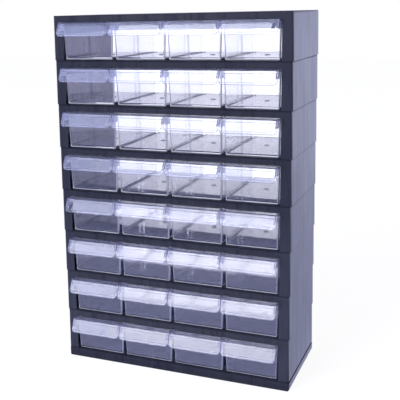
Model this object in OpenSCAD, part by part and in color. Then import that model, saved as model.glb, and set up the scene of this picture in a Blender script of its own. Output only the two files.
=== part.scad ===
// Parts bin cabinet: a base, a stack of open-backed tiers, and clear drawers that slide on the tiers' shelves.
// Millimetres. X runs across, the drawers open towards -Y, and Z is up.
// The origin is the middle of the base's underside.

/* [Cabinet] */
// Rows of drawers, one tier to each row
rows = 8; // [1:1:8]
// Drawers side by side in a row
columns = 4; // [1:1:4]
// Width across the top of a tier
cabinet_w = 300; // [260:1:340]
// Depth of the tiers and of the base
cabinet_d = 130; // [100:1:180]
// Height of a tier, which is the spacing of the shelves
tier_h = 54.75; // [46:0.25:80]
// Height of the base
base_h = 12.75; // [10:0.25:20]
// How much lower the top tier is than the others, in the rail above its drawers
crown_cut = 1; // [0:0.1:2]

/* [Frame] */
// Thickness of the side walls
wall = 2; // [1.6:0.1:3]
// Thickness of a roof, which is the shelf of the row above
shelf_t = 2.2; // [1.6:0.1:3.5]
// Thickness of the front and rear frames
frame_t = 2.2; // [1.6:0.1:3]
// Height of the rail above the drawers at the front
rail_h = 8.5; // [7:0.5:12]
// Height of the opening at the rear of a tier
rear_opening_h = 32; // [20:1:36]
// Width of the stile at each end of a row
stile_w = 12.2; // [10:0.1:20]
// How much further out a side wall stands at its foot than at its top
wall_draft = 1; // [0.4:0.1:1.4]
// Radius of an opening's upper corners
opening_r = 1.5; // [0.5:0.1:4]
// Width of the bevel along the upper edges of a side wall
wall_edge = 0.8; // [0.2:0.1:1.2]
// Height of that bevel
wall_edge_h = 2.5; // [0.6:0.1:5]
// Radius of the upright edges of the tiers and of the base
upright_r = 3; // [1:0.5:4]

/* [Base] */
// How far the base's foot stands out past the lowest tier
base_flare = 0.4; // [0.2:0.1:2]
// Height of the shadow groove between the base and the lowest tier
groove_h = 2; // [1:0.1:3]
// Depth of the shadow groove, measured in from the lowest tier's foot
groove_depth = 1.2; // [0.6:0.1:1.4]
// Radius of the base's lower edges at its two sides
base_r = 3.5; // [1:0.5:6]
// Radius of the base's lower edges at the front and the rear
base_lip_r = 1.5; // [0.5:0.5:4]
// Thickness of the base's skirt and of the ribs under its shelf
skirt_t = 3.2; // [2:0.1:4]

/* [Shelf fittings] */
// Height of the ribs that guide the drawers
guide_h = 1.2; // [0.8:0.1:6]
// Gap between a guide rib and the drawer beside it, at shelf level
guide_gap = 0.8; // [0.5:0.1:1.5]
// Height of the lugs that locate the tier above
lug_h = 4; // [2:0.1:6]
// Length of a locating lug
lug_len = 14; // [6:1:24]
// Thickness of a locating lug
lug_t = 2.4; // [1.5:0.1:4]
// Gap between a locating lug and the wall of the tier above
lug_gap = 0.3; // [0.1:0.05:0.6]
// Distance from the front and the rear of a shelf to its first lug
lug_inset = 16; // [8:1:30]

/* [Drawer] */
// Gap between the tops of two drawers in a row
drawer_gap = 1.6; // [1:0.1:3]
// Gap under a drawer
rest_gap = 0.3; // [0.2:0.05:0.5]
// Gap between a drawer and the rail above it
top_gap = 0.45; // [0.3:0.05:1]
// How far the drawer's front lies behind the face of the frame
recess = 0.3; // [0.1:0.1:2]
// Gap between the stop tab and the rail that it meets
stop_gap = 0.3; // [0.2:0.05:1]
// Thickness of the drawer's walls
drawer_wall = 1.4; // [1:0.1:2.2]
// Thickness of the drawer's floor
floor_t = 2; // [1.2:0.1:2.6]
// Height of the rim under the floor, which the drawer slides on
rim_h = 1; // [0.6:0.1:2.2]
// Width of that rim
rim_w = 4; // [3.5:0.5:8]
// How much narrower the drawer is at its floor than at its rim, on each side
side_taper = 1.5; // [1:0.1:4]
// How far the front and back walls lean in at the floor
end_taper = 0.8; // [0.2:0.1:2]
// Radius of the drawer's outer edges and corners
corner_r = 3; // [2:0.1:3.2]
// Radius of the edges and corners inside the drawer
inner_r = 0.9; // [0.5:0.1:2]
// Facets in each rounded corner
corner_steps = 4; // [2:1:8]

/* [Pull] */
// Gap between the pulls of two drawers in a row
pull_gap = 1.2; // [0.6:0.1:3]
// How far the top flange stands out in front
flange_out = 10.5; // [6:0.5:16]
// How far the pull's lower edge stands out in front
pull_out = 18; // [16:0.5:26]
// Depth of the pull below the drawer's rim
pull_drop = 16.2; // [14:0.1:24]
// Thickness of the flange and the pull
pull_t = 1.6; // [1.2:0.1:2.4]
// Radius of the pull's lower corners
pull_r = 4.5; // [1:0.5:6]
// Depth of the two webs that join the pull's ends to the wall
web_drop = 10; // [6:0.5:12]
// Thickness of those webs
web_t = 1.2; // [0.8:0.1:2]
// Distance from each end of the pull to the web beside it
web_inset = 1.5; // [0.5:0.1:3]
// Depth of the label field in the face of the pull
label_depth = 0.7; // [0.2:0.1:0.8]
// Border of the pull above the label field
label_top = 4.2; // [3:0.1:6]
// Border of the pull below the label field
label_low = 2.8; // [2:0.1:5]
// Border of the pull at each end of the label field
label_side = 3.4; // [2:0.1:8]

/* [Drawer fittings] */
// Height of the stop tab above the drawer's rim
tab_h = 3.2; // [2:0.1:3.8]
// Width of the stop tab
tab_w = 22; // [10:1:30]
// Thickness of the stop tab
tab_t = 1.8; // [1.4:0.1:3]
// Thickness of each of the two ribs that hold a divider
divider_rib_t = 1; // [0.8:0.1:2]
// How far those ribs stand out of the wall
divider_rib_out = 1; // [0.6:0.1:2]
// Width of the slot between those ribs
divider_slot = 1.6; // [1:0.1:3]
// How far those ribs stop below the rim
divider_rib_low = 3; // [1:0.5:10]
// Diameter of the moulding mark in the drawer's floor
gate_d = 6; // [3:0.5:10]
// How far behind the middle of the floor that mark lies
gate_back = 1.5; // [0:0.5:30]
// Height of the moulding mark
gate_h = 0.6; // [0.2:0.1:1.2]

/* [Hidden] */
top_half = cabinet_w / 2;
foot_half = top_half + wall_draft;
opening_w = cabinet_w - 2 * stile_w;
opening_h = tier_h - rail_h;
pitch = opening_w / columns;

rim_half = (pitch - drawer_gap) / 2;
floor_half = rim_half - side_taper;
tub_h = opening_h - rest_gap - top_gap;
tub_d = cabinet_d - recess - frame_t - stop_gap;
pull_half = (pitch - pull_gap) / 2;
pull_angle = atan((pull_out - flange_out) / pull_drop);
floor_top = rim_h + floor_t;

// Length that a cut runs past the face it opens
over = 1;
// Depth that a joined feature runs into the solid that carries it
bite = 0.5;

// Half the width over a tier's side walls at height z above its foot
function half_w(z) = foot_half - wall_draft * z / tier_h;

// Height of the tier that holds row r
function tier_top(r) = r == 1 ? tier_h - crown_cut : tier_h;

// Height of the shelf that carries row r
function shelf_z(r) = base_h + (rows - r) * tier_h;

// Points of a circular arc about centre c, from angle a0 to angle a1
function arc(c, r, a0, a1, steps) =
    [for (i = [0:steps]) c + r * [cos(a0 + (a1 - a0) * i / steps), sin(a0 + (a1 - a0) * i / steps)]];

// The same points with x negated and taken in reverse, for the left half of a symmetric outline
function mirrored(points) = [for (i = [len(points) - 1:-1:0]) [-points[i].x, points[i].y]];

// Extrudes a shape drawn in the X-Z plane from y = 0 to y = depth
module along_y(depth)
    translate([0, depth, 0]) rotate([90, 0, 0]) linear_extrude(depth) children();

// Extrudes a shape drawn in the Y-Z plane to both sides of x = 0
module along_x(width)
    rotate([90, 0, 90]) linear_extrude(width, center = true) children();

// Moves a piece from the front face's own origin to its place in the cabinet
module at_front(x = 0, y = 0, z = 0)
    translate([x, y - cabinet_d / 2, z]) children();

// Slabs turned to the angles between a body's side and end faces, which round its upright edges to radius r.
// The body reaches `low` = [side, end] from its middle at z = z0, and `high` = [side, end] at z = z1.
module turned_slabs(low, high, z0, z1, r) {
    function support(half, a) = half.x * cos(a) + half.y * sin(a) - r * (cos(a) + sin(a) - 1);
    long = 4 * (max(low.x, high.x) + max(low.y, high.y));
    intersection_for (a = [22.5, 45, 67.5, -22.5, -45, -67.5])
        rotate([0, 0, a]) translate([0, -long / 2, 0]) along_y(long)
            polygon([[-support(low, abs(a)), z0], [support(low, abs(a)), z0],
                     [support(high, abs(a)), z1], [-support(high, abs(a)), z1]]);
}

// ---------- frame ----------

module tier_outline(top) {
    right = [[foot_half, 0], [half_w(top - wall_edge_h), top - wall_edge_h], [half_w(top) - wall_edge, top]];
    polygon(concat(right, mirrored(right)));
}

module tier_cavity(top) {
    right = [[half_w(-over) - wall, -over], [half_w(top - shelf_t) - wall, top - shelf_t]];
    polygon(concat(right, mirrored(right)));
}

// Opening of a row up to height `top`, with its two upper corners rounded
module opening_outline(top) {
    corner = arc([opening_w / 2 - opening_r, top - opening_r], opening_r, 0, 90, corner_steps);
    right = concat([[opening_w / 2, -over]], corner);
    polygon(concat(right, mirrored(right)));
}

// Drafted rib on the shelf, centred on x, that keeps two drawers apart
module guide_rib(x) {
    foot = (pitch - 2 * floor_half) / 2 - guide_gap;
    head = foot - side_taper * guide_h / tub_h;
    front = frame_t + stop_gap;
    translate([x, front, 0])
        along_y(cabinet_d - 2 * front)
            polygon([[-foot, -bite], [foot, -bite], [head, guide_h], [-head, guide_h]]);
}

// Lug that stands just inside the right-hand wall of the tier above
module lug(y) {
    face = half_w(lug_h) - wall - lug_gap;
    translate([0, y, 0])
        along_y(lug_len)
            polygon([[face - lug_t, -bite], [face, -bite], [face, lug_h - lug_t / 2],
                     [face - lug_t / 2, lug_h], [face - lug_t, lug_h]]);
}

// What stands on every shelf: the guide ribs and four locating lugs
module shelf_fittings() {
    for (i = [0:columns])
        guide_rib((i - columns / 2) * pitch);
    for (side = [0, 1], y = [lug_inset, cabinet_d - lug_inset - lug_len])
        mirror([side, 0, 0]) lug(y);
}

// One tier: side walls, roof, and a frame at the front and at the rear
module tier(row) {
    top = tier_top(row);
    color([0.16, 0.16, 0.21])
        at_front(z = shelf_z(row)) {
            difference() {
                intersection() {
                    along_y(cabinet_d) tier_outline(top);
                    translate([0, cabinet_d / 2, 0])
                        turned_slabs([foot_half, cabinet_d / 2], [half_w(top), cabinet_d / 2], 0, top, upright_r);
                }
                translate([0, frame_t, 0]) along_y(cabinet_d - 2 * frame_t) tier_cavity(top);
                translate([0, -over, 0]) along_y(cabinet_d / 2) opening_outline(opening_h);
                translate([0, cabinet_d / 2, 0]) along_y(cabinet_d / 2 + over) opening_outline(rear_opening_h);
            }
            if (row > 1)
                translate([0, 0, top]) shelf_fittings();
        }
}

// Front view of the base: rounded lower edges, and a groove under the lowest tier
module base_outline() {
    half = foot_half + base_flare;
    neck = foot_half - groove_depth;
    right = concat(
        arc([half - base_r, base_r], base_r, -90, 0, corner_steps),
        [[half, base_h - groove_h], [neck, base_h - groove_h], [neck, base_h]]
    );
    polygon(concat(right, mirrored(right)));
}

// Side view of the base, with the lower edges rounded at the front and the rear
module base_side() {
    polygon(concat(
        arc([base_lip_r, base_lip_r], base_lip_r, 180, 270, corner_steps),
        arc([cabinet_d - base_lip_r, base_lip_r], base_lip_r, 270, 360, corner_steps),
        [[cabinet_d, base_h + over], [0, base_h + over]]
    ));
}

// Ribs under the base's shelf: one across the middle and one below each line between two drawers
module base_ribs() {
    rib_h = base_h - shelf_t + bite;
    inner = foot_half - groove_depth;
    translate([-inner, (cabinet_d - skirt_t) / 2, 0]) cube([2 * inner, skirt_t, rib_h]);
    for (i = [0:columns])
        translate([(i - columns / 2) * pitch - skirt_t / 2, skirt_t - bite, 0])
            cube([skirt_t, cabinet_d - 2 * skirt_t + 2 * bite, rib_h]);
}

module base() {
    inner = foot_half - groove_depth - skirt_t;
    foot = [foot_half + base_flare, cabinet_d / 2];
    color([0.16, 0.16, 0.21])
        at_front() {
            difference() {
                intersection() {
                    along_y(cabinet_d) base_outline();
                    along_x(2 * cabinet_w) base_side();
                    translate([0, cabinet_d / 2, 0])
                        turned_slabs(foot, foot, 0, base_h, upright_r);
                }
                translate([-inner, skirt_t, -over])
                    cube([2 * inner, cabinet_d - 2 * skirt_t, base_h - shelf_t + over]);
            }
            intersection() {
                base_ribs();
                along_x(2 * cabinet_w) base_side();
            }
            translate([0, 0, base_h]) shelf_fittings();
        }
}

// ---------- drawer ----------
// Each drawer is drawn with its front face at y = 0, its underside at z = 0 and its middle at x = 0.

// Section of the drafted tub, half_low wide at z = low and half_high at z = high, with rounded lower corners
module drafted_section(half_low, half_high, low, high, r) {
    lean = atan((half_high - half_low) / (high - low));
    // centre of the corner's arc, which touches the floor and the leaning wall
    centre = [half_low - r * (1 - sin(lean)) / cos(lean), low + r];
    right = concat(arc(centre, r, -90, -lean, corner_steps), [[half_high, high]]);
    polygon(concat(right, mirrored(right)));
}

// Tub with leaning walls, inset all round by `inset`, with its floor at z = low, its rim at z = high and
// edges of radius r
module tub_solid(inset, low, high, r) {
    function side_at(z) = floor_half + side_taper * z / tub_h - inset;
    function end_at(z) = tub_d / 2 - end_taper + end_taper * z / tub_h - inset;
    long = 2 * (tub_d + pitch);
    translate([0, tub_d / 2, 0])
        intersection() {
            translate([0, -long / 2, 0]) along_y(long)
                drafted_section(side_at(low), side_at(high), low, high, r);
            along_x(long)
                drafted_section(end_at(low), end_at(high), low, high, r);
            turned_slabs([side_at(low), end_at(low)], [side_at(high), end_at(high)], low, high, r);
        }
}

// Side view of the flange and the sloping pull
module pull_side() {
    shift = pull_t / cos(pull_angle);
    polygon([
        [drawer_wall, tub_h], [pull_t / 2 - flange_out, tub_h], [-flange_out, tub_h - pull_t / 2],
        [-pull_out, tub_h - pull_drop], [shift - pull_out, tub_h - pull_drop],
        [shift - flange_out - tan(pull_angle) * pull_t, tub_h - pull_t], [drawer_wall, tub_h - pull_t]
    ]);
}

// Side view of a web between the pull and the wall
module web_side() {
    low = tub_h - web_drop;
    polygon([
        [drawer_wall / 2, tub_h - pull_t / 2], [-flange_out, tub_h - pull_t],
        [pull_t / 2 - flange_out - web_drop * tan(pull_angle), low],
        [drawer_wall / 2, low]
    ]);
}

// Front view of the pull, with its lower corners rounded
module pull_front() {
    low = tub_h - pull_drop - over;
    right = concat(
        arc([pull_half - pull_r, tub_h - pull_drop + pull_r], pull_r, -90, 0, corner_steps),
        [[pull_half, tub_h + over]]
    );
    polygon(concat(right, mirrored(right)));
}

// The shallow field in the pull's face, square to that face
module label_field() {
    face = pull_drop / cos(pull_angle);
    translate([0, -pull_out, tub_h - pull_drop]) rotate([-pull_angle, 0, 0])
        translate([label_side - pull_half, -over, label_low])
            cube([2 * (pull_half - label_side), over + label_depth, face - label_low - label_top]);
}

module pull() {
    difference() {
        intersection() {
            along_x(2 * pull_half) pull_side();
            translate([0, -2 * pull_out, 0]) along_y(3 * pull_out) pull_front();
        }
        label_field();
    }
    for (side = [-1, 1])
        translate([side * (pull_half - web_inset - web_t / 2), 0, 0]) along_x(web_t) web_side();
}

// The two ribs on the right-hand wall that hold a divider's edge
module divider_ribs() {
    function inner(z) = floor_half + side_taper * z / tub_h - drawer_wall;
    low = floor_top - bite;
    high = tub_h - divider_rib_low;
    for (y = [-divider_slot / 2 - divider_rib_t, divider_slot / 2])
        translate([0, tub_d / 2 + y, 0]) along_y(divider_rib_t)
            polygon([[inner(low) + bite, low], [inner(high) + bite, high],
                     [inner(high) - divider_rib_out, high], [inner(low) - divider_rib_out, low]]);
}

// The tab on the back wall that meets the rails and stops the drawer at both ends of its travel
module stop_tab()
    along_x(tab_w)
        polygon([[tub_d - tab_t, tub_h - tab_t], [tub_d - tab_t, tub_h + tab_h - tab_t / 2],
                 [tub_d - tab_t / 2, tub_h + tab_h], [tub_d, tub_h + tab_h], [tub_d, tub_h],
                 [tub_d - drawer_wall / 2, tub_h - tab_t]]);

module drawer(row, column) {
    color([0.80, 0.82, 0.92])
        at_front((column - (columns + 1) / 2) * pitch, recess, shelf_z(row) + rest_gap) {
            difference() {
                tub_solid(0, 0, tub_h, corner_r);
                tub_solid(drawer_wall, floor_top, tub_h + over, inner_r);
                translate([rim_w - floor_half, end_taper + rim_w, -over])
                    cube([2 * (floor_half - rim_w), tub_d - 2 * (end_taper + rim_w), rim_h + over]);
            }
            pull();
            stop_tab();
            for (side = [0, 1])
                mirror([side, 0, 0]) divider_ribs();
            translate([0, tub_d / 2 + gate_back, floor_top - bite])
                cylinder(h = gate_h + bite, d = gate_d, $fn = 32);
        }
}

base();
for (t = [1:rows])
    tier(t);
for (r = [1:rows], c = [1:columns])
    drawer(r, c);
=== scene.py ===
import math

import bmesh
import bpy
from mathutils import Matrix, Vector


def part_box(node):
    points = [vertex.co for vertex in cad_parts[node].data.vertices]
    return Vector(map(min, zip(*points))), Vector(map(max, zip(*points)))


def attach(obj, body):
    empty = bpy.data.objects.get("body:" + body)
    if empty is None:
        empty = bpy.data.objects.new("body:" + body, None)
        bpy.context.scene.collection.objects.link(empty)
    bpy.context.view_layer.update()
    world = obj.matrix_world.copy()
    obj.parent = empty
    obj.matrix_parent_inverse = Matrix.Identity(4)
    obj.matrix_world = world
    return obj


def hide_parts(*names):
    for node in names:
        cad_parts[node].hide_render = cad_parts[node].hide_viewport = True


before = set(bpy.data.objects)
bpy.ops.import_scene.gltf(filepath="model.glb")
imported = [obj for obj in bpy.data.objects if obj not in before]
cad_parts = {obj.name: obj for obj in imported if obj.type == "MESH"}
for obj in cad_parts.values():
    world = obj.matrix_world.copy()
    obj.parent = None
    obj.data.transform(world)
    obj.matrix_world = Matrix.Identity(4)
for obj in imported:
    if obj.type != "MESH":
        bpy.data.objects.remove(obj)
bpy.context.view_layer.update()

scene = bpy.context.scene
scene.view_settings.view_transform = "Standard"

# A ray can cross every drawer of a row, two faces to a wall, before it leaves at the back.
scene.cycles.max_bounces = 40
scene.cycles.transmission_bounces = 40
scene.cycles.transparent_max_bounces = 64

MM = 0.001
ROWS = 8
COLUMNS = 4
COLUMN_STEP = 68.9 * MM
BASE_H = 12.75 * MM
TIER_H = 54.75 * MM


# ---------- camera ----------

IMAGE = 400
FOCAL_PX = 767.19
PRINCIPAL_SHIFT_PX = (35.04, -11.22)
SENSOR_MM = 36
CAMERA_AT = Vector((0.35340, -0.90032, 0.45414))
YAW, PITCH, ROLL = 0.405847, 0.229312, -0.023184


def make_camera():
    data = bpy.data.cameras.new("front_right_view")
    data.sensor_width = SENSOR_MM
    data.lens = FOCAL_PX * SENSOR_MM / IMAGE
    data.shift_x = PRINCIPAL_SHIFT_PX[0] / IMAGE
    data.shift_y = PRINCIPAL_SHIFT_PX[1] / IMAGE
    camera = bpy.data.objects.new("front_right_view", data)
    scene.collection.objects.link(camera)
    scene.camera = camera
    ahead = Vector((-math.sin(YAW) * math.cos(PITCH), math.cos(YAW) * math.cos(PITCH),
                    -math.sin(PITCH)))
    level = Vector((math.cos(YAW), math.sin(YAW), 0))
    upright = level.cross(ahead)
    right = level * math.cos(ROLL) + upright * math.sin(ROLL)
    up = upright * math.cos(ROLL) - level * math.sin(ROLL)
    turn = Matrix((right, up, -ahead)).transposed().to_4x4()
    turn.translation = CAMERA_AT
    camera.matrix_world = turn


# ---------- shader helpers ----------

class Value:
    """A shader socket that takes part in Python expressions."""

    def __init__(self, recipe, socket):
        self.recipe = recipe
        self.socket = socket

    def __add__(self, other):
        return self.recipe.maths("ADD", self, other)

    __radd__ = __add__

    def __mul__(self, other):
        return self.recipe.maths("MULTIPLY", self, other)

    __rmul__ = __mul__

    def __sub__(self, other):
        return self.recipe.maths("SUBTRACT", self, other)

    def __rsub__(self, other):
        return self.recipe.maths("SUBTRACT", other, self)


class Recipe:
    """The node tree of one material or of the world."""

    def __init__(self, owner):
        owner.use_nodes = True
        self.tree = owner.node_tree
        self.tree.nodes.clear()

    def add(self, kind, settings=None, inputs=None):
        """Adds a node and returns its outputs, by number or by name."""
        node = self.tree.nodes.new(kind)
        for name, value in (settings or {}).items():
            setattr(node, name, value)
        for key, value in (inputs or {}).items():
            socket = node.inputs[key]
            if isinstance(value, Value):
                self.tree.links.new(value.socket, socket)
            else:
                socket.default_value = value
        outputs = {}
        for number, socket in enumerate(node.outputs):
            outputs[number] = Value(self, socket)
            outputs.setdefault(socket.name, outputs[number])
        return outputs

    def maths(self, operation, *values):
        return self.add("ShaderNodeMath", {"operation": operation}, dict(enumerate(values)))[0]

    def noise(self, place, scale, detail, roughness=0.5):
        inputs = {"Vector": place, "Scale": scale, "Detail": detail, "Roughness": roughness}
        return self.add("ShaderNodeTexNoise", {}, inputs)[0]

    def spread(self, value, low, high, out_low=0.0, out_high=1.0):
        """Maps low..high to out_low..out_high, and stays inside those."""
        inputs = {0: value, 1: low, 2: high, 3: out_low, 4: out_high}
        return self.add("ShaderNodeMapRange", {"clamp": True}, inputs)[0]

    def fade(self, value, low, high):
        """1 up to low, and 0 from high on."""
        return self.spread(value, low, high, 1, 0)

    def band(self, value, low, high, soft):
        """1 between low and high, with edges `soft` wide."""
        return self.spread(value, low, low + soft) * self.fade(value, high - soft, high)

    def blend(self, mask, first, second):
        settings = {"data_type": "RGBA", "clamp_factor": True}
        return self.add("ShaderNodeMix", settings, {0: mask, 6: first, 7: second})[2]

    def crossed(self, path, kind):
        """1 for the rays that have met a surface of that kind on their way."""
        return self.spread(path[kind + " Depth"], 0.4, 0.6)

    def axes(self, place):
        return self.add("ShaderNodeSeparateXYZ", {}, {"Vector": place})

    def stretch(self, place, factors):
        settings = {"operation": "MULTIPLY"}
        return self.add("ShaderNodeVectorMath", settings, {0: place, 1: factors})[0]

    def bump(self, height, strength, distance):
        inputs = {"Height": height, "Strength": strength, "Distance": distance}
        return self.add("ShaderNodeBump", {}, inputs)[0]

    def mixed(self, share, first, second):
        """The first shader where share is 0, and the second where it is 1."""
        return self.add("ShaderNodeMixShader", {}, {0: share, 1: first, 2: second})[0]

    def finish(self, shader, output="ShaderNodeOutputMaterial"):
        self.add(output, {}, {"Surface": shader})


def new_material(name):
    material = bpy.data.materials.new(name)
    return material, Recipe(material)


# ---------- black plastic ----------

# its darker and its rubbed patches, and painted shade at each tier's top: colour, share, how far up
BLACK = (0.018, 0.020, 0.034, 1)
RUBBED = (0.029, 0.031, 0.049, 1)
SEAM_SHADE = (0.01, 0.01, 0.02, 1)
SEAM_SHADE_SHARE = 0.6
SEAM_SHADE_RISE = (TIER_H - 2.2 * MM, TIER_H - 1.2 * MM)


def frame_plastic():
    """Black moulded plastic with a navy cast: spark grain, cloudy patches and rubbed streaks."""
    material, mix = new_material("frame_plastic")
    place = mix.add("ShaderNodeTexCoord")["Object"]
    cloud = mix.noise(place, 22, 3.0, 0.6)
    smear = mix.noise(mix.stretch(place, (60, 60, 9)), 1.0, 4.0, 0.6)
    grain = mix.noise(place, 2600, 1.0)
    colour = mix.blend(mix.spread(cloud * 0.6 + smear * 0.4, 0.35, 0.65), BLACK, RUBBED)
    gloss = mix.spread(smear, 0.25, 0.75, 0.22, 0.36) + mix.spread(grain, 0.3, 0.7, -0.03, 0.03)
    height = grain * 0.6 + mix.noise(place, 700, 2.0) * 0.4
    plastic = mix.add("ShaderNodeBsdfPrincipled", {}, {
        "Base Color": colour, "Roughness": gloss, "IOR": 1.42,
        "Normal": mix.bump(height, 0.12, 0.05 * MM)})[0]

    # painted shade at the seam where each tier stands on the one below
    tiers = (mix.axes(place)["Z"] - BASE_H) * (1 / TIER_H)
    seam_shade = mix.spread(mix.maths("FRACT", tiers) * TIER_H, *SEAM_SHADE_RISE)
    shadow = mix.add("ShaderNodeBsdfDiffuse", {}, {"Color": SEAM_SHADE})[0]
    mix.finish(mix.mixed(seam_shade * SEAM_SHADE_SHARE, plastic, shadow))
    return material


# ---------- clear plastic ----------

# All drawers share the mesh of the first one. Places in it are measured out from its middle,
# back from its front face, and up from its underside.
FIRST_DRAWER = "drawer_r1c1"
FIRST_MIDDLE = -(COLUMNS - 1) / 2 * COLUMN_STEP
FACE_Y = -64.7 * MM
TUB_H = 45.5 * MM
# half its width at the floor, and how far its sides lean out per metre up
FLOOR_HALF = 32.15 * MM
SIDE_LEAN = 1.5 / 45.5

# the front wall, and where the painted highlight on its rounded edges fades: in from the sides, and
# up
WALL_BACK = (-0.6 * MM, 3.0 * MM)
SIDE_FADE = (1.0 * MM, 2.2 * MM)
FOOT_FADE = (1.4 * MM, 2.6 * MM)

# the pull: how far its top stands out, its slope outwards going down, half its width, its foot
# and its corners
PULL_OUT = 10.5 * MM
PULL_SLOPE = 7.5 / 16.2
PULL_HALF = 33.85 * MM
PULL_FOOT = 29.3 * MM
PULL_CORNER = 4.5 * MM
# its skin, by depth into it and by where it ends before the wall, and the outline on the skin
SKIN_DEPTH = (1.9 * MM, 2.3 * MM)
SKIN_BACK = (-2.5 * MM, -2.0 * MM)
OUTLINE = (PULL_CORNER - 1.0 * MM, PULL_CORNER - 0.5 * MM)
# the edges of its label field
LABEL_TOP = (41.2 * MM, 42.1 * MM)
LABEL_FOOT = (31.4 * MM, 32.2 * MM)

# the webs between pull and wall, and the top of the flange above them
WEB_OUT = (30.9 * MM, 32.6 * MM)
WEB_BACK = (-1.0 * MM, -0.6 * MM)
WEB_RISE = (TUB_H - 1.8 * MM, TUB_H - 1.6 * MM)
FLANGE_BACK = (-10.3 * MM, 0.4 * MM)
FLANGE_RISE = (TUB_H - 0.9 * MM, TUB_H - 0.6 * MM)

# the moulding mark in the floor
MARK_BACK = 65.1 * MM
MARK_FADE = (3.0 * MM, 3.3 * MM)
MARK_RISE = (2.8 * MM, 4.0 * MM)

# its greyer and its clearer patches, and what it leaves of a lamp's light behind it
GREYER = (0.99, 0.991, 1.0, 1)
CLEARER = (0.998, 0.998, 1.0, 1)
LAMP_LEFT = (0.88, 0.88, 0.95, 1)

# its satin layer: the colour and the share all over, then those of each spot, mostly painted light
HAZE = (0.40, 0.45, 1.0, 1)
HAZE_SHARE = 0.013
SATIN_AND_PAINTED_LIGHT = {
    # painted highlights on the rounded edges and the foot of the front wall
    "edge": ((0.75, 0.76, 0.92, 1), 0.5),
    "foot": ((0.94, 0.95, 1.0, 1), 0.3),
    "webs": ((0.48, 0.48, 0.70, 1), 0.55),
    # painted shade on the flange top under the rail, and along the pull's outline and label field
    "flange": ((0.20, 0.21, 0.32, 1), 0.35),
    "lines": ((0.36, 0.37, 0.52, 1), 0.3),
    "mark": ((0.12, 0.12, 0.16, 1), 0.6),
}


def satin_and_painted_light_spots(mix, place):
    """Masks of the spots named in SATIN_AND_PAINTED_LIGHT."""
    parts = mix.axes(place)
    out = mix.maths("ABSOLUTE", parts["X"] - FIRST_MIDDLE)
    back = parts["Y"] - FACE_Y
    rise = parts["Z"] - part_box(FIRST_DRAWER)[0][2]

    # rounded edges around the front wall, where highlights are painted
    side = mix.fade((FLOOR_HALF + rise * SIDE_LEAN) - out, *SIDE_FADE)
    foot = mix.fade(rise, *FOOT_FADE)
    wall = mix.band(back, *WALL_BACK, soft=0.3 * MM)

    # skin of the pull, with its rounded outline and the edges of its label field, where shade is
    # painted
    depth = back + (PULL_OUT + (TUB_H - rise) * PULL_SLOPE)
    skin = mix.fade(depth, *SKIN_DEPTH) * mix.fade(back, *SKIN_BACK)
    past_end = mix.maths("MAXIMUM", out - (PULL_HALF - PULL_CORNER), 0)
    past_foot = mix.maths("MAXIMUM", PULL_FOOT + PULL_CORNER - rise, 0)
    outline = mix.spread(mix.maths("SQRT", past_end * past_end + past_foot * past_foot), *OUTLINE)
    label = (mix.band(rise, *LABEL_TOP, soft=0.2 * MM)
             + mix.band(rise, *LABEL_FOOT, soft=0.2 * MM))

    webs = mix.band(out, *WEB_OUT, soft=0.1 * MM) * (1 - skin) * mix.fade(back, *WEB_BACK)
    # the top of the flange, where shade is painted
    flange = mix.band(back, *FLANGE_BACK, soft=0.3 * MM) * mix.spread(rise, *FLANGE_RISE)
    aside = back - MARK_BACK
    mark = mix.fade(mix.maths("SQRT", out * out + aside * aside), *MARK_FADE)
    return {
        "edge": wall * mix.maths("MAXIMUM", side, foot),
        "foot": wall * foot,
        "webs": webs * mix.fade(rise, *WEB_RISE),
        "flange": flange,
        "lines": skin * mix.maths("MAXIMUM", outline, label),
        "mark": mark * mix.band(rise, *MARK_RISE, soft=0.1 * MM),
    }


def clear_plastic():
    """Clear styrene with a lavender cast: flow lines, a slight haze, painted highlights on moulded
    edges and painted shade.
    """
    material, mix = new_material("clear_plastic")
    place = mix.add("ShaderNodeTexCoord")["Object"]
    flow = mix.noise(mix.stretch(place, (14, 30, 260)), 1.0, 2.0)
    sag = mix.noise(place, 45, 1.0)
    haze = mix.noise(place, 120, 3.0, 0.6)
    colour = mix.blend(mix.spread(haze, 0.3, 0.7), GREYER, CLEARER)
    gloss = mix.spread(haze, 0.3, 0.7, 0.0, 0.01)
    clear = mix.add("ShaderNodeBsdfPrincipled", {}, {
        "Base Color": colour, "Roughness": gloss, "IOR": 1.59, "Transmission Weight": 1.0,
        "Normal": mix.bump(flow * 0.3 + sag * 0.7, 0.012, 0.4 * MM)})[0]

    spots = satin_and_painted_light_spots(mix, place)
    # a satin layer over the clear plastic, with painted highlights and painted shade at its spots
    tint, amount = HAZE, HAZE_SHARE
    for name, (spot_tint, share) in SATIN_AND_PAINTED_LIGHT.items():
        tint = mix.blend(spots[name], tint, spot_tint)
        amount = amount + spots[name] * share
    satin = mix.add("ShaderNodeBsdfPrincipled", {}, {"Base Color": tint, "Roughness": 0.35})[0]
    moulded = mix.mixed(amount, clear, satin)

    # lamps shine through it
    through = mix.add("ShaderNodeBsdfTransparent", {}, {"Color": LAMP_LEFT})[0]
    shadow = mix.add("ShaderNodeLightPath")["Is Shadow Ray"]
    mix.finish(mix.mixed(shadow, moulded, through))
    return material


# ---------- pieces ----------

# corners of a solid closer than this join, flatter faces than this join, sharper edges than this
# stay sharp
WELD = 0.002 * MM
FLAT_ANGLE = math.radians(0.5)
SHARP_ANGLE = math.radians(32)


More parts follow.
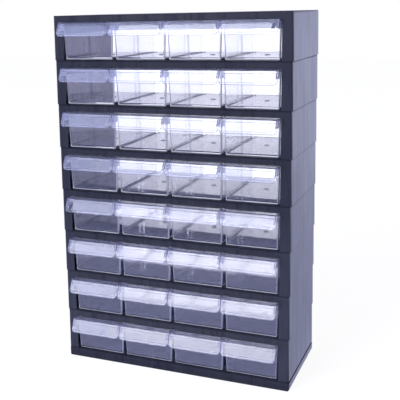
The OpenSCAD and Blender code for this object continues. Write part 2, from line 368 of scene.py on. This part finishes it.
def moulded_copy(node, name, material):
    """A copy of a solid's mesh, its triangles joined, with smooth shading on rounded edges."""
    mesh = bpy.data.meshes.new(name)
    work = bmesh.new()
    work.from_mesh(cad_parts[node].data)
    bmesh.ops.remove_doubles(work, verts=work.verts, dist=WELD)
    bmesh.ops.dissolve_limit(work, angle_limit=FLAT_ANGLE, verts=work.verts, edges=work.edges)
    bmesh.ops.recalc_face_normals(work, faces=work.faces)
    for face in work.faces:
        face.smooth = True
    for edge in work.edges:
        edge.smooth = edge.is_manifold and edge.calc_face_angle(0) < SHARP_ANGLE
    work.to_mesh(mesh)
    work.free()
    mesh.materials.append(material)
    return mesh


def place_piece(name, mesh, body, node, at=(0, 0, 0)):
    piece = bpy.data.objects.new(name, mesh)
    piece.location = at
    scene.collection.objects.link(piece)
    # keeps the flat faces flat beside the rounded edges
    flat = piece.modifiers.new("flat_faces", "WEIGHTED_NORMAL")
    flat.weight = 100
    flat.keep_sharp = True
    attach(piece, body)
    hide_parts(node)


def make_frame():
    black = frame_plastic()
    for node in ["base"] + ["tier_%d" % t for t in range(1, ROWS + 1)]:
        name = node + "_moulding"
        place_piece(name, moulded_copy(node, name, black), "cabinet", node)


def make_drawers():
    mesh = moulded_copy(FIRST_DRAWER, "drawer_moulding", clear_plastic())
    corner = Vector(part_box(FIRST_DRAWER)[0])
    for row in range(1, ROWS + 1):
        for column in range(1, COLUMNS + 1):
            node = "drawer_r%dc%d" % (row, column)
            at = Vector(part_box(node)[0]) - corner
            place_piece(node + "_moulding", mesh, node, node, at)


# ---------- studio ----------

# the floor reaches this far from the middle, and what the world shows is taken to be as far
REACH = 6

# what the glossy surfaces mirror in front: a painted shadow at the cabinet's foot, the bench, and
# the room beyond it, with where along y each begins
FRONT_FOOT_SHADOW = (0.35, 0.38, 0.55, 1)
FRONT_NEAR = (1.05, 1.10, 1.75, 1)
FRONT_FAR = (0.48, 0.52, 0.84, 1)
FOOT_SHADOW_Y = (-0.095, -0.08)
NEAR_Y = (-0.60, -0.50)
# the same behind it, from BEHIND_Y on
BEHIND_Y = (-0.07, -0.05)
BACK_NEAR = (0.86, 0.90, 1.32, 1)
BACK_FAR = (1.25, 1.30, 1.82, 1)
BACK_Y = (0.5, 1.9)
# what a reflection inside a drawer shows of it
INSIDE_NEAR = (0.12, 0.115, 0.18, 1)
INSIDE_FAR = (0.80, 0.76, 1.08, 1)
INSIDE_Y = (0.5, 2.3)

# the right of the studio lies past both of these lines: how far each leans in x per metre of y,
# and where across it starts and ends
RIGHT_NEAR = (0.15, 0.08, 0.16)
RIGHT_FAR = (0.5, -0.28, -0.10)

# the white background: straight, through clear plastic, and in a reflection inside a drawer
WHITE = (1, 1, 1, 1)
THROUGH = (1.37, 1.39, 1.46, 1)
GLIMPSED = (1.13, 1.13, 1.29, 1)

# the floor: its plain colour, the little that its lamplit part adds, and its own light
FLOOR_PLAIN = (0.8, 0.8, 0.82, 1)
FLOOR_LAMPLIT = (0.2, 0.2, 0.2, 1)
FLOOR_GLOW = 0.9
# the world's soft light
SOFT_LIGHT = (0.85, 0.87, 1.0, 1)
SOFT_STRENGTH = 0.5


def studio_light(mix, place):
    """What shows of the studio at a place: straight or through clear plastic, and in a mirror.

    Also returns 1 for the rays that come straight or through clear plastic, and 1 for the
    mirrored ones.
    """
    path = mix.add("ShaderNodeLightPath")
    parts = mix.axes(place)
    x, y = parts["X"], parts["Y"]
    front = mix.blend(mix.spread(y, *NEAR_Y), FRONT_FAR, FRONT_NEAR)
    # painted shadow on the mirrored floor at the cabinet's foot
    front = mix.blend(mix.spread(y, *FOOT_SHADOW_Y), front, FRONT_FOOT_SHADOW)
    outer = mix.blend(mix.spread(y, *BACK_Y), BACK_NEAR, BACK_FAR)
    inner = mix.blend(mix.spread(y, *INSIDE_Y), INSIDE_NEAR, INSIDE_FAR)
    behind = mix.spread(y, *BEHIND_Y)
    back = mix.blend(mix.crossed(path, "Transmission"), outer, inner)
    mirrored = mix.blend(behind, front, back)

    def past(lean, start, end):
        return mix.spread(x - y * lean, start, end)

    # the walls of a drawer mirror the right of the studio, where it is darker
    right = past(*RIGHT_NEAR) * past(*RIGHT_FAR)
    glimpsed = mix.blend(behind, front, mix.blend(right, GLIMPSED, inner))
    through = mix.blend(mix.crossed(path, "Glossy"), THROUGH, glimpsed)
    shown = mix.blend(path["Is Transmission Ray"], WHITE, through)
    straight = mix.maths("MAXIMUM", path["Is Camera Ray"], path["Is Transmission Ray"])
    return shown, mirrored, straight, path["Is Glossy Ray"]


def make_floor():
    mesh = bpy.data.meshes.new("floor")
    corners = [(-REACH, -REACH, 0), (REACH, -REACH, 0), (REACH, REACH, 0), (-REACH, REACH, 0)]
    mesh.from_pydata(corners, [], [(0, 1, 2, 3)])
    floor = bpy.data.objects.new("floor", mesh)
    scene.collection.objects.link(floor)
    material, mix = new_material("white_floor")
    place = mix.add("ShaderNodeTexCoord")["Object"]
    shown, mirrored, straight, glossy = studio_light(mix, place)
    plain = mix.add("ShaderNodeBsdfPrincipled", {}, {"Base Color": FLOOR_PLAIN, "Roughness": 0.9})[0]
    mirror = mix.add("ShaderNodeEmission", {}, {"Color": mirrored, "Strength": 1.0})[0]
    # white by its own light, and lit a little by the lamps, so that the cabinet's shadow shows
    lamplit = mix.add("ShaderNodeBsdfDiffuse", {}, {"Color": FLOOR_LAMPLIT})[0]
    glow = mix.add("ShaderNodeEmission", {}, {"Color": shown, "Strength": FLOOR_GLOW})[0]
    white = mix.add("ShaderNodeAddShader", {}, {0: lamplit, 1: glow})[0]
    mix.finish(mix.mixed(straight, mix.mixed(glossy, plain, mirror), white))
    mesh.materials.append(material)


def make_world():
    world = bpy.data.worlds.new("studio")
    scene.world = world
    mix = Recipe(world)
    # the world's directions, taken as places far from the cabinet
    place = mix.stretch(mix.add("ShaderNodeTexCoord")["Generated"], (REACH, REACH, REACH))
    shown, mirrored, straight, glossy = studio_light(mix, place)
    soft = mix.add("ShaderNodeBackground", {}, {"Color": SOFT_LIGHT, "Strength": SOFT_STRENGTH})[0]
    mirror = mix.add("ShaderNodeBackground", {}, {"Color": mirrored, "Strength": 1.0})[0]
    white = mix.add("ShaderNodeBackground", {}, {"Color": shown, "Strength": 1.0})[0]
    around = mix.mixed(straight, mix.mixed(glossy, soft, mirror), white)
    mix.finish(around, "ShaderNodeOutputWorld")


# ---------- lamps ----------

# panes of the studio's window, in the plane y = WINDOW_Y: left, right, foot, head, radiance and
# colour
WINDOW_Y = -2.5
PANES = [
    ("middle", -1.35, -0.35, 0.90, 1.69, 4.4, (0.94, 0.94, 1.0)),
    ("middle_bar", -1.50, -0.35, 1.69, 1.95, 8.5, (0.94, 0.94, 1.0)),
    ("low", -1.72, -0.30, 0.80, 1.69, 4.5, (0.82, 0.84, 1.0)),
    ("bar", -1.76, -0.30, 1.69, 1.95, 3.5, (0.80, 0.82, 1.0)),
    ("high", -1.72, -0.30, 1.69, 2.95, 2.2, (0.72, 0.76, 1.0)),
    ("top", -1.86, -0.86, 2.95, 3.45, 5.6, (0.80, 0.84, 1.0)),
    ("left", -2.44, -1.72, 1.95, 2.95, 1.9, (0.54, 0.63, 1.0)),
    ("left_top", -2.44, -1.86, 2.95, 3.45, 2.8, (0.56, 0.64, 1.0)),
]


def make_lights():
    for name, left, right, foot, head, radiance, colour in PANES:
        data = bpy.data.lights.new("window_" + name, "AREA")
        data.shape = "RECTANGLE"
        data.size, data.size_y = right - left, head - foot
        data.energy = radiance * math.pi * data.size * data.size_y
        data.color = colour
        pane = bpy.data.objects.new("window_" + name, data)
        scene.collection.objects.link(pane)
        pane.location = ((left + right) / 2, WINDOW_Y, (foot + head) / 2)
        # a pane shines along its own -Z, which this turns to world +Y
        pane.rotation_euler = Vector((0, -1, 0)).to_track_quat("Z", "Y").to_euler()


make_camera()
make_frame()
make_drawers()
make_floor()
make_world()
make_lights()
